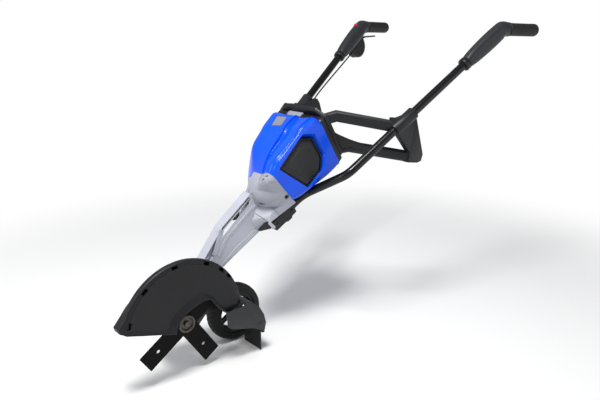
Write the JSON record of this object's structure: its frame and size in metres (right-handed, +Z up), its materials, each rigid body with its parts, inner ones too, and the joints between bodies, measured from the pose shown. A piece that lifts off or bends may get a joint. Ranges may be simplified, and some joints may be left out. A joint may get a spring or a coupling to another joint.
{
  "type": "cordless lawn edger",
  "caption": "Walk-behind battery lawn edger: crossed blades under a guard, cast drive arm, motor housing, depth wheel and bent tube handles with a trigger.",
  "frame": {"origin": "on the floor under the middle of the machine's bounding box", "axes": "+Z up, -Y towards the blade and the direction of travel, +X towards the operator's left, the blade's side"},
  "size_m": [0.5912, 1.2108, 0.797],
  "materials": {
    "blue_plastic": "gloss blue moulded shell",
    "cast_aluminium": "lavender-grey painted die casting",
    "dark_plastic": "fine-grained charcoal moulding",
    "black_steel": "black blade steel",
    "black_paint": "semi-gloss black paint",
    "rubber": "black rubber",
    "tyre_rubber": "black tyre rubber",
    "bright_steel": "plated steel",
    "grey_plastic": "mid-grey moulding",
    "red_plastic": "red moulding",
    "battery_plastic": "dark olive-grey moulding",
    "copper": "wound copper",
    "brass": "plain bearing brass"
  },
  "bodies": {
    "machine": {"spindle_bearing_far": "bright_steel", "spindle_bearing_near": "bright_steel", "pinion_bearing": "bright_steel", "shaft_bearing": "bright_steel", "trigger_pin": "bright_steel", "depth_pivot_pin": "bright_steel", "gear_case": "cast_aluminium", "gear_case_cover": "cast_aluminium", "drive_arm": "cast_aluminium", "motor_bell": "cast_aluminium", "motor_end_plate": "cast_aluminium", "motor_stator": "copper", "motor_cover": "blue_plastic", "motor_controller": "grey_plastic", "battery_tray": "dark_plastic", "rear_cover": "dark_plastic", "left_tube_clamp": "dark_plastic", "right_tube_clamp": "dark_plastic", "left_frame": "dark_plastic", "right_frame": "dark_plastic", "left_handle_outer": "dark_plastic", "left_handle_inner": "dark_plastic", "right_handle_outer": "dark_plastic", "right_handle_inner": "dark_plastic", "left_collar": "dark_plastic", "right_collar": "dark_plastic", "switch_housing": "dark_plastic", "guard_cover": "dark_plastic", "guard_backing": "dark_plastic", "rear_deflector": "dark_plastic", "left_tube": "black_paint", "right_tube": "black_paint", "left_grip": "rubber", "right_grip": "rubber", "control_cable": "rubber", "debris_flap": "rubber"},
    "cutter": {"blade_spindle": "bright_steel", "bevel_gear": "bright_steel", "blade_flange": "bright_steel", "blade_bar_front": "black_steel", "blade_bar_rear": "black_steel", "blade_cup": "bright_steel", "blade_bolt": "bright_steel"},
    "drive_train": {"bevel_pinion": "bright_steel", "drive_shaft": "bright_steel", "shaft_coupling": "bright_steel", "motor_rotor": "bright_steel"},
    "depth_carrier": {"depth_arm": "black_paint", "wheel_axle": "bright_steel", "axle_cap": "bright_steel"},
    "wheel": {"wheel_tyre": "tyre_rubber", "wheel_rim": "dark_plastic", "wheel_bush_far": "brass", "wheel_bush_near": "brass"},
    "depth_knob": {"depth_knob": "dark_plastic"},
    "battery": {"battery_pack": "battery_plastic"},
    "release_button": {"release_button": "grey_plastic"},
    "top_latch": {"top_latch": "grey_plastic"},
    "trigger": {"trigger": "dark_plastic"},
    "lock_button": {"lock_button": "red_plastic"}
  },
  "joints": [
    {"name": "blade_spin", "type": "hinge", "parent": "machine", "child": "cutter", "pos_m": [0.073, -0.43887, 0.1342], "axis": [1, 0, 0], "continuous": true},
    {"name": "shaft_spin", "type": "hinge", "parent": "machine", "child": "drive_train", "pos_m": [0, -0.43887, 0.1342], "axis": [0, 0.7604, 0.6494], "continuous": true},
    {"name": "depth_swing", "type": "hinge", "parent": "machine", "child": "depth_carrier", "pos_m": [-0.035, -0.35087, 0.1922], "axis": [1, 0, 0], "range_deg": [0, 24]},
    {"name": "wheel_spin", "type": "hinge", "parent": "depth_carrier", "child": "wheel", "pos_m": [-0.01, -0.24887, 0.0752], "axis": [1, 0, 0], "continuous": true},
    {"name": "knob_turn", "type": "hinge", "parent": "machine", "child": "depth_knob", "pos_m": [-0.0413, -0.32996, 0.21006], "axis": [1, 0, 0], "range_deg": [0, 180]},
    {"name": "battery_slide", "type": "slide", "parent": "machine", "child": "battery", "axis": [1, 0, 0], "range_m": [0, 0.055]},
    {"name": "button_press", "type": "slide", "parent": "machine", "child": "release_button", "axis": [0, 0.6494, -0.7604], "range_m": [0, 0.003], "stiffness_N_per_m": 300},
    {"name": "latch_lift", "type": "hinge", "parent": "machine", "child": "top_latch", "pos_m": [-0.01, -0.03254, 0.56842], "axis": [-1, 0, 0], "range_deg": [0, 30], "stiffness_Nm_per_rad": 0.05},
    {"name": "trigger_pull", "type": "hinge", "parent": "machine", "child": "trigger", "pos_m": [-0.2592, 0.4528, 0.7308], "axis": [0.9914, 0.1311, -0.004], "range_deg": [0, 5.5], "stiffness_Nm_per_rad": 0.6},
    {"name": "lock_press", "type": "slide", "parent": "machine", "child": "lock_button", "axis": [0, 0.5825, -0.8128], "range_m": [0, 0.003], "stiffness_N_per_m": 300}
  ],
  "couplings": [
    {"joint": "shaft_spin", "follows": "blade_spin", "ratio": 1.8333}
  ]
}
